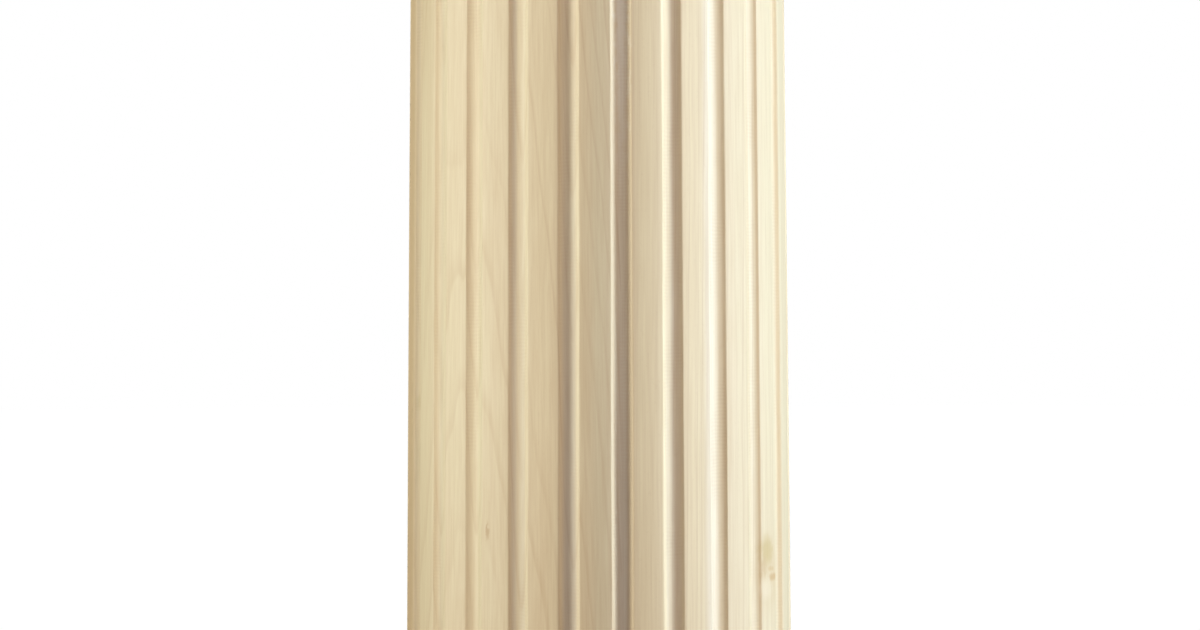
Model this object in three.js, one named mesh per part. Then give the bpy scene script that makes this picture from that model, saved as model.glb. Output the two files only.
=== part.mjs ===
// A fluted column: one shaft of pale hard maple, turned with a gentle entasis, fluted all round
// and cut square at its foot and its head.
// Millimetres, +Z up. The origin is the middle of the underside, and a fillet, the plain strip
// between two flutes, faces -Y.
import * as THREE from "three";

// Driving dimensions
const HEIGHT = 914; // 36 in, a stock height for a cabinet column
const FOOT_DIAMETER = 101.6; // 4 in, across the fillets at the foot
const DIMINUTION = 0.148; // how much narrower the head is than the foot, as a share
const FLUTE_COUNT = 24;
const FLUTE_SHARE = 0.4; // how much of each pitch is flute, the rest being fillet
const FLUTE_DEPTH_RATIO = 0.22; // depth of a flute over its width
const END_EASING = 0.6; // sanded edge round the two cut ends

// How finely the curves are divided
const FLUTE_SEGMENTS = 6;
const FILLET_SEGMENTS = 4;
const ENTASIS_STEPS = 8;

// Sizes that follow from those
const FOOT_RADIUS = FOOT_DIAMETER / 2;
const PITCH = (2 * Math.PI) / FLUTE_COUNT;
const FLUTE_ANGLE = PITCH * FLUTE_SHARE;
const FLUTE_WIDTH = 2 * FOOT_RADIUS * Math.sin(FLUTE_ANGLE / 2);
const FLUTE_DEPTH = FLUTE_WIDTH * FLUTE_DEPTH_RATIO;
const FLUTE_RADIUS = (FLUTE_WIDTH ** 2 / 4 + FLUTE_DEPTH ** 2) / (2 * FLUTE_DEPTH);
const FLUTE_HALF_ARC = 2 * Math.atan((2 * FLUTE_DEPTH) / FLUTE_WIDTH);

// The shaft's radius at a height: full at the foot, and diminishing as a parabola to the head.
function entasisRadius(z) {
  return FOOT_RADIUS * (1 - DIMINUTION * (z / HEIGHT) ** 2);
}

// The plain arc of the shaft that ends where the flute at this angle begins.
function filletArc(fluteMiddle) {
  const end = fluteMiddle - FLUTE_ANGLE / 2;
  const start = end - (PITCH - FLUTE_ANGLE);
  return new THREE.EllipseCurve(0, 0, FOOT_RADIUS, FOOT_RADIUS, start, end);
}

// The round hollow of the flute at this angle, from one sharp edge to the other.
function fluteArc(fluteMiddle) {
  const chordRadius = FOOT_RADIUS * Math.cos(FLUTE_ANGLE / 2);
  const centreRadius = chordRadius - FLUTE_DEPTH + FLUTE_RADIUS;
  const inward = fluteMiddle + Math.PI;
  return new THREE.EllipseCurve(
    centreRadius * Math.cos(fluteMiddle),
    centreRadius * Math.sin(fluteMiddle),
    FLUTE_RADIUS,
    FLUTE_RADIUS,
    inward + FLUTE_HALF_ARC,
    inward - FLUTE_HALF_ARC,
    true,
  );
}

// The fluted outline at the foot, counter-clockwise. Each arc leaves its last point to the next.
function flutedOutline() {
  const points = [];
  for (let i = 0; i < FLUTE_COUNT; i++) {
    const fluteMiddle = (i + 0.5) * PITCH;
    points.push(...filletArc(fluteMiddle).getPoints(FILLET_SEGMENTS).slice(0, -1));
    points.push(...fluteArc(fluteMiddle).getPoints(FLUTE_SEGMENTS).slice(0, -1));
  }
  return new THREE.Shape(points);
}

// The heights of the shaft's rings of vertices, with the easing at both ends.
function ringHeights() {
  const heights = [0, END_EASING];
  for (let i = 1; i < ENTASIS_STEPS; i++) heights.push((HEIGHT * i) / ENTASIS_STEPS);
  heights.push(HEIGHT - END_EASING, HEIGHT);
  return heights;
}

// The whole shaft: the outline drawn up ring by ring and narrowed to the shaft's radius there.
function shaftGeometry() {
  const heights = ringHeights();
  const steps = heights.length - 1;
  const geometry = new THREE.ExtrudeGeometry(flutedOutline(), { depth: steps, steps, bevelEnabled: false });
  const place = geometry.getAttribute("position");
  for (let i = 0; i < place.count; i++) {
    const ring = Math.round(place.getZ(i));
    const easing = ring === 0 || ring === steps ? END_EASING : 0;
    const scale = (entasisRadius(heights[ring]) - easing) / FOOT_RADIUS;
    place.setXYZ(i, place.getX(i) * scale, place.getY(i) * scale, heights[ring]);
  }
  geometry.computeVertexNormals();
  return geometry;
}

const maple = new THREE.MeshStandardMaterial({ color: 0xe4d2aa, roughness: 0.6, metalness: 0 });
const shaft = new THREE.Mesh(shaftGeometry(), maple);
shaft.name = "fluted_shaft";

const column = new THREE.Group();
column.add(shaft);

export default column;
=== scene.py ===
"""Dresses the fluted column: its finely modelled shaft, its maple, a plain studio and the camera."""

import math

import bpy
import numpy as np
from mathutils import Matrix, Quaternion, Vector


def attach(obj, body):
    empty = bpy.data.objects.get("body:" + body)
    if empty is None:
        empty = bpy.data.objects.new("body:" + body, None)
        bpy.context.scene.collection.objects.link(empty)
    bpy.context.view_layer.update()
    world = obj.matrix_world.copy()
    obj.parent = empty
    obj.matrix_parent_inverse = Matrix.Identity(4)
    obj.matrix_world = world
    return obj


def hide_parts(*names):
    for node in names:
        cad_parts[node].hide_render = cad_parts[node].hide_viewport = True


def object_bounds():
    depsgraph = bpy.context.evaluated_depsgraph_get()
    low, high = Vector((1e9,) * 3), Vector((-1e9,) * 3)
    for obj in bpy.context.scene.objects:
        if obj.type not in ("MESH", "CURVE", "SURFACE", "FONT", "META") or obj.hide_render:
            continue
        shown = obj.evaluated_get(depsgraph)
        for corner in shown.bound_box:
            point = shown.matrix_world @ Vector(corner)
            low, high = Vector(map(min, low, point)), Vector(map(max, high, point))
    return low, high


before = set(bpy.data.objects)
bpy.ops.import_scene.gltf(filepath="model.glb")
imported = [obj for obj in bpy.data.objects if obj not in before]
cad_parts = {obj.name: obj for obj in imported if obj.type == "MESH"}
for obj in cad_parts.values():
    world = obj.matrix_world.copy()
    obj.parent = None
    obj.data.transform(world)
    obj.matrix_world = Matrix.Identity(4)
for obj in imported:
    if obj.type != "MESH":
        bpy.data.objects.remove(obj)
cad_low, cad_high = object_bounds()

# The shaft, in metres and degrees. Azimuths turn from -Y, the front, towards +X.
HEIGHT = cad_high.z
FOOT_RADIUS = cad_high.x
DIMINUTION = 0.148  # how much narrower the head is than the foot, as a share
FLUTE_COUNT = 24
FLUTE_SHARE = 0.4  # how much of each pitch is flute
FLUTE_DEPTH_RATIO = 0.22  # depth of a flute over its width
END_EASING = 0.0006
ARRIS_EASING = 0.0006  # radius of the softened edges between flute and fillet

# How much the tool and the sanding wander along each flute, as shares
WIDTH_WANDER = 0.03
DEPTH_WANDER = 0.06
EASING_WANDER = 0.5
WANDER_LENGTHS = (0.34, 0.137, 0.061)
WANDER_SEED = 24

# How finely the shaft is divided
HOLLOW_STEPS = 7
ARRIS_STEPS = 3
FILLET_STEPS = 3
END_STEPS = 3
ROW_SPACING = 0.0064

# How the shaft's texture is laid out, in a square of side 1
END_STRIP = 0.12  # height of the strip below the unrolled side, which holds the two ends
END_FILL = 0.9  # how much of that height an end takes up

# The photograph's view
PHOTO_WIDTH = 1200
FOCAL_PIXELS = 2519
AXIS_PIXEL_X = 598.1
CAMERA_RADII = 13.33  # distance from the axis, in shaft radii at the view's height
CAMERA_AZIMUTH = 0.8
CAMERA_ROLL = 0.16
VIEW_HEIGHT = HEIGHT / 2
SENSOR_WIDTH = 36

PITCH = 2 * math.pi / FLUTE_COUNT
HALF_FLUTE = PITCH * FLUTE_SHARE / 2
rng = np.random.default_rng(WANDER_SEED)


def outward(azimuth):
    """The level direction that faces away from the axis at an azimuth in degrees."""
    a = math.radians(azimuth)
    return Vector((math.sin(a), -math.cos(a), 0))


def sideways(azimuth):
    """The level direction that runs to the right along the surface at an azimuth in degrees."""
    a = math.radians(azimuth)
    return Vector((math.cos(a), math.sin(a), 0))


# The shaft


def entasis_radius(z):
    """The shaft's radius at a height: full at the foot, and diminishing as a parabola to the head."""
    return FOOT_RADIUS * (1 - DIMINUTION * (z / HEIGHT) ** 2)


def row_heights():
    """Heights of the shaft's rows and how far each is drawn in, with a quarter round at both ends."""
    turn = np.linspace(0, math.pi / 2, END_STEPS + 1)
    rise = END_EASING * (1 - np.cos(turn))
    draw = END_EASING * (1 - np.sin(turn))
    count = round(HEIGHT / ROW_SPACING)
    middle = np.linspace(END_EASING, HEIGHT - END_EASING, count)[1:-1]
    heights = np.concatenate([rise, middle, HEIGHT - rise[::-1]])
    drawn_in = np.concatenate([draw, np.zeros(len(middle)), draw[::-1]])
    return heights, drawn_in


def wander(heights):
    """Slow waviness along the shaft, from -1 to 1, of its own in each flute."""
    waves = [
        np.sin(2 * math.pi * heights[:, None] / length + rng.uniform(0, 2 * math.pi, FLUTE_COUNT))
        for length in WANDER_LENGTHS
    ]
    return sum(waves)[:, :, None] / len(waves)


def half_flute(half_angle, depth_ratio, easing):
    """Angle from the flute's middle, and radius, of the points from there to the middle of the fillet
    beside it, on a shaft of radius 1: the hollow, the eased arris and half the fillet."""
    width = 2 * np.sin(half_angle)
    depth = depth_ratio * width
    hollow = (width**2 / 4 + depth**2) / (2 * depth)
    centre = np.cos(half_angle) - depth + hollow
    reach = 1 - easing
    lean = np.arccos((reach**2 + centre**2 - (hollow + easing) ** 2) / (2 * reach * centre))
    arris_x, arris_y = reach * np.cos(lean), reach * np.sin(lean)
    sweep = np.arctan2(arris_y, centre - arris_x)

    turn = sweep * np.arange(HOLLOW_STEPS) / HOLLOW_STEPS
    hollow_x, hollow_y = centre - hollow * np.cos(turn), hollow * np.sin(turn)
    turn = -sweep + (sweep + lean) * np.arange(ARRIS_STEPS) / ARRIS_STEPS
    eased_x, eased_y = arris_x + easing * np.cos(turn), arris_y + easing * np.sin(turn)
    turn = lean + (PITCH / 2 - lean) * np.arange(FILLET_STEPS + 1) / FILLET_STEPS
    x = np.concatenate([hollow_x, eased_x, np.cos(turn)], axis=2)
    y = np.concatenate([hollow_y, eased_y, np.sin(turn)], axis=2)
    return np.arctan2(y, x), np.hypot(x, y)


def flute_grid(heights):
    """Azimuth in radians, and radius over the shaft's own, of every point: a row for each height."""
    half_angle = HALF_FLUTE * (1 + WIDTH_WANDER * wander(heights))
    depth_ratio = FLUTE_DEPTH_RATIO * (1 + DEPTH_WANDER * wander(heights))
    sides = []
    for _ in ("left", "right"):
        easing = ARRIS_EASING / FOOT_RADIUS * (1 + EASING_WANDER * wander(heights))
        sides.append(half_flute(half_angle, depth_ratio, easing))
    (left_angle, left_radius), (right_angle, right_radius) = sides
    angle = np.concatenate([-left_angle[:, :, :0:-1], right_angle[:, :, :-1]], axis=2)
    radius = np.concatenate([left_radius[:, :, :0:-1], right_radius[:, :, :-1]], axis=2)
    middle = -math.pi + PITCH * (np.arange(FLUTE_COUNT) + 0.5)
    angle = angle + middle[None, :, None]
    return angle.reshape(len(heights), -1), radius.reshape(len(heights), -1)


def shaft_uv(rows, around, heights, points):
    """Texture coordinates of each face's corners: the side unrolled, with the two ends below it."""
    j, i = np.meshgrid(np.arange(around), np.arange(rows - 1))
    corner_j = np.stack([j, j + 1, j + 1, j], axis=2) / around
    level = END_STRIP + (1 - END_STRIP) * heights / HEIGHT
    corner_v = np.stack([level[i], level[i], level[i + 1], level[i + 1]], axis=2)
    side = np.stack([corner_j, corner_v], axis=3).reshape(-1, 2)
    end_scale = END_FILL / 2 * END_STRIP / FOOT_RADIUS
    foot = points[0, ::-1, :2] * end_scale + (END_STRIP / 2, END_STRIP / 2)
    head = points[-1, :, :2] * end_scale + (3 * END_STRIP / 2, END_STRIP / 2)
    return np.concatenate([side, foot, head])


def make_shaft():
    """The whole shaft as one closed mesh, with its depth into the flutes kept for the material."""
    heights, drawn_in = row_heights()
    azimuth, radius = flute_grid(heights)
    full = radius * (entasis_radius(heights) - drawn_in)[:, None]
    level = np.broadcast_to(heights[:, None], full.shape)
    points = np.stack([full * np.sin(azimuth), -full * np.cos(azimuth), level], axis=2)
    rows, around = full.shape

    index = np.arange(rows * around).reshape(rows, around)
    beside = np.roll(index, -1, axis=1)
    quads = np.stack([index[:-1], beside[:-1], beside[1:], index[1:]], axis=2).reshape(-1, 4)
    ends = [index[0, ::-1].tolist(), index[-1].tolist()]
    mesh = bpy.data.meshes.new("fluted_column_shaft")
    mesh.from_pydata(points.reshape(-1, 3), [], quads.tolist() + ends)
    smooth = np.ones(len(mesh.polygons), bool)
    smooth[-len(ends):] = False
    mesh.polygons.foreach_set("use_smooth", smooth)
    unrolled = mesh.uv_layers.new(name="OFBake")
    unrolled.uv.foreach_set("vector", shaft_uv(rows, around, heights, points).astype(np.float32).ravel())
    depth = np.clip((1 - radius) / (2 * FLUTE_DEPTH_RATIO * math.sin(HALF_FLUTE)), 0, 1)
    depth[[0, -1]] = 0  # the flat ends aren't hollow
    hollow = mesh.attributes.new("hollow", "FLOAT", "POINT")
    hollow.data.foreach_set("value", depth.astype(np.float32).ravel())
    mesh.update()

    shaft = bpy.data.objects.new("fluted_column_shaft", mesh)
    bpy.context.scene.collection.objects.link(shaft)
    mesh.materials.append(maple())
    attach(shaft, "root")
    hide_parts("fluted_shaft")


# The maple


class Graph:
    """Short ways to add a material's nodes and join them."""

    def __init__(self, tree):
        self.tree = tree

    def put(self, socket, value):
        if isinstance(value, bpy.types.NodeSocket):
            self.tree.links.new(value, socket)
        else:
            socket.default_value = value

    def add(self, kind, inputs=(), **settings):
        node = self.tree.nodes.new(kind)
        for name, value in settings.items():
            setattr(node, name, value)
        for key, value in dict(inputs).items():
            self.put(node.inputs[key], value)
        return node

    def math(self, operation, *values):
        return self.add("ShaderNodeMath", enumerate(values), operation=operation).outputs[0]

    def vector(self, operation, *values):
        node = self.add("ShaderNodeVectorMath", enumerate(values), operation=operation)
        return node.outputs["Value" if operation in ("LENGTH", "DOT_PRODUCT") else "Vector"]

    def noise(self, place, detail=2.0, output="Fac"):
        inputs = {"Vector": place, "Scale": 1.0, "Detail": detail, "Roughness": 0.5}
        return self.add("ShaderNodeTexNoise", inputs).outputs[output]

    def span(self, value, low, high, to_low=0.0, to_high=1.0):
        """Carries low..high smoothly to to_low..to_high."""
        inputs = {"Value": value, "From Min": low, "From Max": high, "To Min": to_low, "To Max": to_high}
        return self.add("ShaderNodeMapRange", inputs, interpolation_type="SMOOTHSTEP").outputs["Result"]

    def mix(self, data_type, factor, first, second, **settings):
        node = self.add("ShaderNodeMix", data_type=data_type, **settings)
        sockets = [socket for socket in node.inputs if socket.enabled]
        for socket, value in zip(sockets, (factor, first, second)):
            self.put(socket, value)
        return next(socket for socket in node.outputs if socket.enabled)


# The maple's lengths are in millimetres, its colours are linear, and shares run from 0 to 1. The size of a
# noise is that of its waves across the grain, in both directions, and along it.
MILLIMETRES = 1000
JOINT_AZIMUTH = 7.5  # the joint between the blank's two boards, in the bottom of a flute
LEFT_PITH = {"azimuth": 139, "distance": 55, "lean_to": -41, "lean": 0.028}
RIGHT_PITH = {"azimuth": -76, "distance": 95, "lean_to": 60, "lean": 0.006}

CREAM = (0.725, 0.652, 0.420, 1)
ROSE = (0.716, 0.627, 0.404, 1)
RING_AND_SHADE_TAN = (0.50, 0.36, 0.19, 1)
TONE_SIZE = (7, 7, 150)
NOISE_MIDDLE = (0.35, 0.65)  # the range that most of a noise's values are in

RING_WIDTH = 1.1
RING_WAVES = (((60, 60, 400), 5.0), ((10, 10, 80), 1.6))  # size and reach of the rings' wavering
RING_EDGE = (0.68, 0.93)  # where across a ring its dark edge begins, and where it is darkest
RING_CHANCE = (0.2, 0.9)  # the draws between which a ring goes from faint to full
RING_FAINTEST = 0.05
RING_SHARE = 0.24

FIBRE_SIZE = (0.45, 0.45, 24)
FIBRE_RANGE = (0.3, 0.75)
FIBRE_SHARE = 0.18
BAND_SIZE = (1.2, 1.2, 300)
BAND_SHARE = 0.12

RAY_WIDTH = 0.5
RAY_LENGTH = 7.0  # out from the pith
RAY_HEIGHT = 1.2
RAY_DISTANCE = 110  # from the pith, where a ray is of that width
RAY_RANGE = (0.6, 0.75)
RAY_SHARE = 0.06

# Straight streaks along the grain: azimuth, half width, strength and colour. Some in the flutes are
# painted shade, painted highlights and painted sheen.
STREAKS = (
    (-78, 14.0, 1.0, (0.54, 0.405, 0.216, 1)),  # tan by the left edge
    (-61, 8.0, 0.55, (0.632, 0.538, 0.317, 1)),  # lighter tan beside it
    (-24.1, 0.9, 0.5, (0.611, 0.57, 0.437, 1)),  # painted shade in a flute
    (-14, 6.0, 0.3, (0.832, 0.742, 0.47, 1)),  # paler
    (1.6, 3.6, 0.5, (0.7, 0.683, 0.459, 1)),  # olive
    (7.9, 1.6, 0.22, (0.863, 0.892, 0.699, 1)),  # painted sheen along the joint, in the flute there
    (14.8, 4.5, 0.4, (0.811, 0.731, 0.41, 1)),  # paler
    (24, 13.0, 0.8, (0.832, 0.747, 0.481, 1)),
    (23.8, 2.0, 0.6, (0.653, 0.613, 0.467, 1)),  # painted shade in a flute
    (35, 3.0, 0.6, (0.842, 0.796, 0.634, 1)),  # painted highlight in a flute, with the next streak
    (37.4, 1.4, 0.3, (0.905, 0.882, 0.699, 1)),
    (62, 16.0, 0.5, (0.721, 0.64, 0.421, 1)),  # tan by the right edge
    (53.2, 1.2, 0.4, (0.863, 0.828, 0.612, 1)),  # painted highlight in a flute
    (55.2, 0.5, 0.5, (0.589, 0.441, 0.251, 1)),  # thin tan lines at two arrises: painted shade
    (69.8, 0.9, 0.7, (0.632, 0.495, 0.273, 1)),
)
STREAK_REACH = 900  # half the length over which a streak fades out

# Ragged marks: azimuth, height, half width, half height, strength and colour
MARKS = (
    (-62, 545, 9.0, 45, 0.35, (0.52, 0.39, 0.21, 1)),  # tan by the left edge
    (7.9, 545, 2.4, 75, 0.38, (0.82, 0.86, 0.78, 1)),  # painted sheen along the joint, in the flute there
    (60.0, 392, 8.0, 13.0, 0.35, (0.62, 0.48, 0.25, 1)),  # pin knot
    (58.5, 389, 4.0, 4.0, 0.3, (0.84, 0.78, 0.58, 1)),
    (58.6, 398.5, 4.8, 5.4, 0.75, (0.53, 0.42, 0.18, 1)),
    (56.8, 394.5, 1.8, 4.0, 0.6, (0.54, 0.40, 0.20, 1)),
    (62.8, 391.6, 3.4, 1.4, 0.75, (0.54, 0.36, 0.16, 1)),
    (60.8, 393.8, 2.2, 1.0, 0.55, (0.56, 0.40, 0.18, 1)),
    (-32.3, 404.8, 0.8, 3.2, 0.7, (0.50, 0.36, 0.19, 1)),  # short mineral streaks
    (-69.1, 435.3, 1.8, 3.5, 0.5, (0.50, 0.40, 0.20, 1)),
    (-69.0, 421.0, 1.8, 9.0, 0.35, (0.52, 0.43, 0.24, 1)),
)
MARK_DEPTH = 12
MARK_CORE = 0.2  # how much of a mark is of full strength
RAGGED_SIZE = (1.3, 1.3, 2.6)
RAGGED_REACH = 3.4

# Painted shade: the hollows of the flutes at the middle of the front are greyer, most towards the foot.
# Low down the blank is warmer and darker, partly a warmer wood and partly painted shade.
FLUTE_PAINTED_SHADE = (0.80, 0.85, 0.99, 1)
GREY_HOLLOW = (0.4, 1.0)
GREY_ACROSS = (12, 22)  # how far from the middle the grey begins to fade, and ends
GREY_BEHIND = (-30, 0)  # how far back it does so
GREY_HEIGHTS = (390, 530)
GREY_ABOVE = 0.25  # how much of the grey is left above those heights
LOW_WARMTH_AND_SHADE = (0.906, 0.87, 0.835, 1)
LOW_HEIGHTS = (350, 460)
WARM_SHADE_ACROSS = (5, 40)
WARM_SHADE_RIGHT = 0.35  # how much of the warmer, darker tone is left at the right edge

# The ripples that the fluting cutter left, in the bump and as painted shade in the colour
RIPPLE_SPACING = 0.9
RIPPLE_BEND_SIZE = (4, 4, 5)
RIPPLE_BEND = 9.0
PATCH_SIZE = (6, 6, 22)
PATCH_RANGE = (0.42, 0.62)
RIPPLE_HOLLOW = (0.0, 0.3)
RIPPLE_SHADE_SHARE = 0.1
RIPPLE_RELIEF = -1.2

ROUGHNESS = (0.58, 0.68)
ROUGHNESS_RANGE = (0.3, 0.7)
BUMP_STRENGTH = 0.3
BUMP_HEIGHT = 0.00004  # in metres


def grain_noise(graph, place, size, detail=2.0):
    return graph.noise(graph.vector("DIVIDE", place, size), detail)


def overlaid(graph, colour, amount, share, over_colour):
    """The colour with up to that share of another colour, by an amount from 0 to 1: stains in the wood,
    and painted shade, highlights and sheen.
    """
    return graph.mix("RGBA", graph.math("MULTIPLY", amount, share), colour, over_colour)


def pith_frame(graph, place, pith):
    """The place as seen from a board's pith, which runs along Z there."""
    middle = outward(pith["azimuth"]) * pith["distance"]
    lean = outward(pith["lean_to"]) * pith["lean"]
    location = (middle.x, middle.y, HEIGHT / 2 * MILLIMETRES)
    inputs = {"Vector": place, "Location": location, "Rotation": (-lean.y, lean.x, 0)}
    return graph.add("ShaderNodeMapping", inputs, vector_type="TEXTURE").outputs["Vector"]


def board_frame(graph, place):
    """The pith's frame of whichever of the two boards a place is in."""
    across = graph.vector("DOT_PRODUCT", place, tuple(sideways(JOINT_AZIMUTH)))
    right = graph.math("GREATER_THAN", across, 0.0)
    left_frame = pith_frame(graph, place, LEFT_PITH)
    right_frame = pith_frame(graph, place, RIGHT_PITH)
    return graph.mix("VECTOR", right, left_frame, right_frame)


def wavering(graph, place, size, reach):
    """The place moved by up to half of reach across the grain, in waves of that size."""
    waves = graph.noise(graph.vector("DIVIDE", place, size), 2.0, "Color")
    shift = graph.vector("SUBTRACT", waves, (0.5, 0.5, 0.5))
    return graph.vector("ADD", place, graph.vector("MULTIPLY", shift, (reach, reach, 0.0)))


def pith_distance(graph, place):
    return graph.vector("LENGTH", graph.vector("MULTIPLY", place, (1, 1, 0)))


def growth_rings(graph, grain):
    """How strongly the dark edge of a growth ring shows at a place in its board."""
    for size, reach in RING_WAVES:
        grain = wavering(graph, grain, size, reach)
    count = graph.math("DIVIDE", pith_distance(graph, grain), RING_WIDTH)
    within = graph.math("FRACT", count)
    ring = graph.math("FLOOR", count)
    draw = graph.add("ShaderNodeTexWhiteNoise", {"W": ring}, noise_dimensions="1D").outputs["Value"]
    rise = graph.span(within, *RING_EDGE)
    fall = graph.span(within, RING_EDGE[1], 1.0, 1.0, 0.0)
    edge = graph.math("MULTIPLY", rise, fall)
    return graph.math("MULTIPLY", edge, graph.span(draw, *RING_CHANCE, RING_FAINTEST, 1.0))


def rays(graph, grain):
    """The wood's rays: ribbons that stand along the grain and run out from the pith, so that they show
    as flecks where the surface is cut along them and as fine dashes elsewhere."""
    axes = graph.add("ShaderNodeSeparateXYZ", {"Vector": grain}).outputs
    turn = graph.math("ARCTAN2", axes["Y"], axes["X"])
    across = graph.math("MULTIPLY", turn, RAY_DISTANCE / RAY_WIDTH)
    out = graph.math("DIVIDE", pith_distance(graph, grain), RAY_LENGTH)
    rise = graph.math("DIVIDE", axes["Z"], RAY_HEIGHT)
    place = graph.add("ShaderNodeCombineXYZ", {"X": out, "Y": across, "Z": rise}).outputs["Vector"]
    return graph.span(graph.noise(place, 1.0), *RAY_RANGE)


def mark(graph, place, azimuth, height, half_width, half_height):
    """1 in the middle of a mark on the surface at an azimuth and a height, falling to 0 at its edge."""
    surface = entasis_radius(height / MILLIMETRES) * MILLIMETRES
    middle = outward(azimuth) * surface
    inputs = {
        "Vector": place,
        "Location": (middle.x, middle.y, height),
        "Rotation": (0, 0, math.radians(azimuth)),
        "Scale": (half_width, MARK_DEPTH, half_height),
    }
    local = graph.add("ShaderNodeMapping", inputs, vector_type="TEXTURE").outputs["Vector"]
    return graph.span(graph.vector("LENGTH", local), MARK_CORE, 1.0, 1.0, 0.0)


def wood_colour_and_painted_light(graph, place, grain, fibre):
    """The wood: its tone and streaks, then rings, fibres, bands and rays, then marks. Some streaks and one
    mark are painted shade, highlights and sheen in the flutes.
    """
    tone = grain_noise(graph, grain, TONE_SIZE)
    colour = graph.mix("RGBA", graph.span(tone, *NOISE_MIDDLE), CREAM, ROSE)
    for azimuth, half_width, strength, over_colour in STREAKS:
        amount = mark(graph, place, azimuth, HEIGHT / 2 * MILLIMETRES, half_width, STREAK_REACH)
        colour = overlaid(graph, colour, amount, strength, over_colour)
    colour = overlaid(graph, colour, growth_rings(graph, grain), RING_SHARE, RING_AND_SHADE_TAN)
    colour = graph.mix("RGBA", graph.span(fibre, *FIBRE_RANGE, 0.0, FIBRE_SHARE), colour, RING_AND_SHADE_TAN)
    band = grain_noise(graph, grain, BAND_SIZE)
    colour = graph.mix("RGBA", graph.span(band, *NOISE_MIDDLE, 0.0, BAND_SHARE), colour, RING_AND_SHADE_TAN)
    colour = overlaid(graph, colour, rays(graph, grain), RAY_SHARE, RING_AND_SHADE_TAN)
    ragged = wavering(graph, place, RAGGED_SIZE, RAGGED_REACH)
    for azimuth, height, half_width, half_height, strength, over_colour in MARKS:
        amount = mark(graph, ragged, azimuth, height, half_width, half_height)
        colour = overlaid(graph, colour, amount, strength, over_colour)
    return colour


def tinted(graph, colour, place, hollow):
    """The colour with painted shade in the hollows of the front flutes, and a warmer, darker tone towards
    the foot that is partly the wood and partly painted shade.
    """
    axes = graph.add("ShaderNodeSeparateXYZ", {"Vector": place}).outputs
    middle = graph.span(graph.math("ABSOLUTE", axes["X"]), *GREY_ACROSS, 1.0, 0.0)
    facing = graph.math("MULTIPLY", middle, graph.span(axes["Y"], *GREY_BEHIND, 1.0, 0.0))
    painted_shade = graph.math("MULTIPLY", graph.span(hollow, *GREY_HOLLOW), facing)
    painted_shade = graph.math("MULTIPLY", painted_shade, graph.span(axes["Z"], *GREY_HEIGHTS, 1.0, GREY_ABOVE))
    # Painted shade in the hollows of the flutes that face the front.
    colour = graph.mix("RGBA", painted_shade, colour, FLUTE_PAINTED_SHADE, blend_type="MULTIPLY")
    # Partly a warmer wood and partly painted shade: darker and warmer towards the foot, most on the left.
    low = graph.span(axes["Z"], *LOW_HEIGHTS, 1.0, 0.0)
    warmth_and_shade = graph.math("MULTIPLY", low, graph.span(axes["X"], *WARM_SHADE_ACROSS, 1.0, WARM_SHADE_RIGHT))
    return graph.mix("RGBA", warmth_and_shade, colour, LOW_WARMTH_AND_SHADE, blend_type="MULTIPLY")


def tool_ripple(graph, place, hollow):
    """Fine ripples that the fluting cutter left across the flutes, in patches, from 0 to 1."""
    height = graph.add("ShaderNodeSeparateXYZ", {"Vector": place}).outputs["Z"]
    bend = graph.math("MULTIPLY", grain_noise(graph, place, RIPPLE_BEND_SIZE), RIPPLE_BEND)
    phase = graph.math("MULTIPLY_ADD", height, 2 * math.pi / RIPPLE_SPACING, bend)
    wave = graph.math("MULTIPLY_ADD", graph.math("SINE", phase), 0.5, 0.5)
    patch = graph.span(grain_noise(graph, place, PATCH_SIZE), *PATCH_RANGE)
    where = graph.math("MULTIPLY", patch, graph.span(hollow, *RIPPLE_HOLLOW))
    return graph.math("MULTIPLY", wave, where)


def maple():
    """Bare sanded hard maple: cream, with faint growth rings, rays, fibres, marks and tool ripples, with
    painted shade, highlights and sheen in some flutes and painted shade of the ripples.
    """
    material = bpy.data.materials.new("maple")
    material.use_nodes = True
    tree = material.node_tree
    tree.nodes.clear()
    graph = Graph(tree)
    place = graph.add("ShaderNodeTexCoord").outputs["Object"]
    place = graph.vector("MULTIPLY", place, (MILLIMETRES,) * 3)
    grain = board_frame(graph, place)
    fibre = grain_noise(graph, grain, FIBRE_SIZE, 4.0)
    hollow = graph.add("ShaderNodeAttribute", attribute_name="hollow").outputs["Fac"]
    ripple = tool_ripple(graph, place, hollow)

    colour = wood_colour_and_painted_light(graph, place, grain, fibre)
    colour = tinted(graph, colour, place, hollow)
    # Painted shade of the cutter ripples.
    colour = overlaid(graph, colour, ripple, RIPPLE_SHADE_SHARE, RING_AND_SHADE_TAN)
    rough = graph.span(fibre, *ROUGHNESS_RANGE, *ROUGHNESS)
    shader = graph.add("ShaderNodeBsdfPrincipled", {"Base Color": colour, "Roughness": rough})
    relief = graph.math("MULTIPLY_ADD", ripple, RIPPLE_RELIEF, fibre)
    inputs = {"Height": relief, "Strength": BUMP_STRENGTH, "Distance": BUMP_HEIGHT}
    graph.put(shader.inputs["Normal"], graph.add("ShaderNodeBump", inputs).outputs["Normal"])
    output = graph.add("ShaderNodeOutputMaterial")
    graph.put(output.inputs["Surface"], shader.outputs["BSDF"])
    return material


# The studio and the camera

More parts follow.
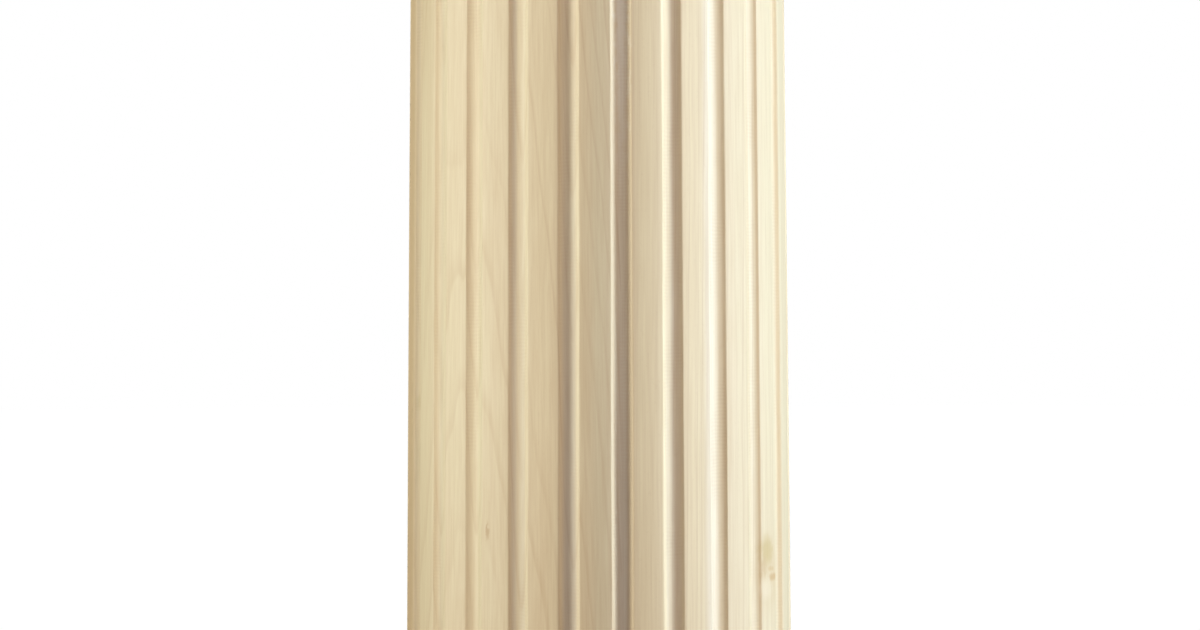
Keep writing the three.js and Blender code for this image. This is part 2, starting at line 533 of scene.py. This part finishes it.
WHITE = (1, 1, 1)
FLOOR_RADIUS = 12
FLOOR_HOLE = 0.049  # radius of an opening under the foot, which lets it be seen from below
FLOOR_SIDES = 96
FLOOR_COLOUR = (0.12, 0.12, 0.12, 1)
FLOOR_GLOW = (0.82, 1.0)  # what the camera sees beside the softboxes' light, near the axis and far
FLOOR_GLOW_REACH = (0.5, 2.6)  # distances from the axis where it leaves the first and reaches the second
FILL = 0.03
STRIP_DISTANCE = 1.1
STRIP_WIDTH = 0.19
STRIP_HEIGHT = 1.4
STRIP_MIDDLE = 0.75
STRIPS = {  # azimuth, power and colour of the upright softboxes
    "left_softbox": (-75, 15.2, (1.0, 1.0, 0.99)),
    "right_softbox": (85, 17.4, (0.862, 1.0, 1.205)),
    "front_softbox": (20, 5.85, (1.24, 1.0, 0.95)),
    "back_softbox": (180, 9.5, WHITE),
}
PANELS = {"top_softbox": (2.6, 22.0), "under_softbox": (-1.2, 14.0)}  # height and power of the level ones
PANEL_SIZE = 1.2


def make_floor():
    """A pale matt floor. To the camera it also glows, so that far off it is as white as what is behind."""
    turns = np.linspace(0, 2 * math.pi, FLOOR_SIDES, endpoint=False)
    rims = [(r * math.cos(a), r * math.sin(a), 0) for r in (FLOOR_HOLE, FLOOR_RADIUS) for a in turns]
    beside = [(i + 1) % FLOOR_SIDES for i in range(FLOOR_SIDES)]
    quads = [(i, i + FLOOR_SIDES, j + FLOOR_SIDES, j) for i, j in enumerate(beside)]
    mesh = bpy.data.meshes.new("floor")
    mesh.from_pydata(rims, [], quads)
    material = bpy.data.materials.new("floor")
    material.use_nodes = True
    tree = material.node_tree
    tree.nodes.clear()
    graph = Graph(tree)
    matt = graph.add("ShaderNodeBsdfDiffuse", {"Color": FLOOR_COLOUR})
    ray = graph.add("ShaderNodeLightPath").outputs["Is Camera Ray"]
    distance = graph.vector("LENGTH", graph.add("ShaderNodeTexCoord").outputs["Object"])
    strength = graph.math("MULTIPLY", ray, graph.span(distance, *FLOOR_GLOW_REACH, *FLOOR_GLOW))
    glow = graph.add("ShaderNodeEmission", {"Color": (*WHITE, 1), "Strength": strength})
    both = graph.add("ShaderNodeAddShader", {0: matt.outputs[0], 1: glow.outputs[0]})
    output = graph.add("ShaderNodeOutputMaterial")
    graph.put(output.inputs["Surface"], both.outputs[0])
    mesh.materials.append(material)
    floor = bpy.data.objects.new("floor", mesh)
    bpy.context.scene.collection.objects.link(floor)


def make_world():
    """White behind the column, and a weaker white light from all round."""
    world = bpy.data.worlds.new("studio")
    world.use_nodes = True
    tree = world.node_tree
    tree.nodes.clear()
    graph = Graph(tree)
    seen = graph.add("ShaderNodeBackground", {"Color": (*WHITE, 1), "Strength": 1.0})
    fill = graph.add("ShaderNodeBackground", {"Color": (*WHITE, 1), "Strength": FILL})
    ray = graph.add("ShaderNodeLightPath").outputs["Is Camera Ray"]
    either = graph.add("ShaderNodeMixShader", {0: ray, 1: fill.outputs[0], 2: seen.outputs[0]})
    output = graph.add("ShaderNodeOutputWorld")
    graph.put(output.inputs["Surface"], either.outputs[0])
    bpy.context.scene.world = world


def make_softbox(name, location, size, power, colour):
    """A softbox that faces the axis, or along it where it stands on it."""
    light = bpy.data.lights.new(name, "AREA")
    light.shape = "RECTANGLE"
    light.size, light.size_y = size
    light.energy = power
    light.color = colour
    ob = bpy.data.objects.new(name, light)
    ob.location = location
    level = Vector((location.x, location.y, 0))
    aim = -level if level.length else Vector((0, 0, -location.z))
    ob.rotation_mode = "QUATERNION"
    ob.rotation_quaternion = aim.to_track_quat("-Z", "Y")
    ob.visible_camera = False
    bpy.context.scene.collection.objects.link(ob)


def make_softboxes():
    for name, (azimuth, power, colour) in STRIPS.items():
        location = outward(azimuth) * STRIP_DISTANCE + Vector((0, 0, STRIP_MIDDLE))
        make_softbox(name, location, (STRIP_WIDTH, STRIP_HEIGHT), power, colour)
    for name, (height, power) in PANELS.items():
        make_softbox(name, Vector((0, 0, height)), (PANEL_SIZE, PANEL_SIZE), power, WHITE)


def make_camera():
    """The photograph's view, level and a little to the right of the front. Its height is a guess."""
    distance = CAMERA_RADII * entasis_radius(VIEW_HEIGHT)
    pixel = distance / FOCAL_PIXELS
    away = outward(CAMERA_AZIMUTH)
    aside = sideways(CAMERA_AZIMUTH) * ((PHOTO_WIDTH / 2 - AXIS_PIXEL_X) * pixel)
    aim = aside + Vector((0, 0, VIEW_HEIGHT))
    camera = bpy.data.cameras.new("camera")
    camera.sensor_width = SENSOR_WIDTH
    camera.lens = SENSOR_WIDTH * FOCAL_PIXELS / PHOTO_WIDTH
    camera.clip_start = 0.01
    ob = bpy.data.objects.new("camera", camera)
    ob.location = aim + away * distance
    ob.rotation_mode = "QUATERNION"
    roll = Quaternion((0, 0, 1), math.radians(-CAMERA_ROLL))
    ob.rotation_quaternion = (-away).to_track_quat("-Z", "Y") @ roll
    bpy.context.scene.collection.objects.link(ob)
    bpy.context.scene.camera = ob


make_camera()
make_shaft()
make_floor()
make_world()
make_softboxes()
bpy.context.scene.view_settings.view_transform = "Standard"
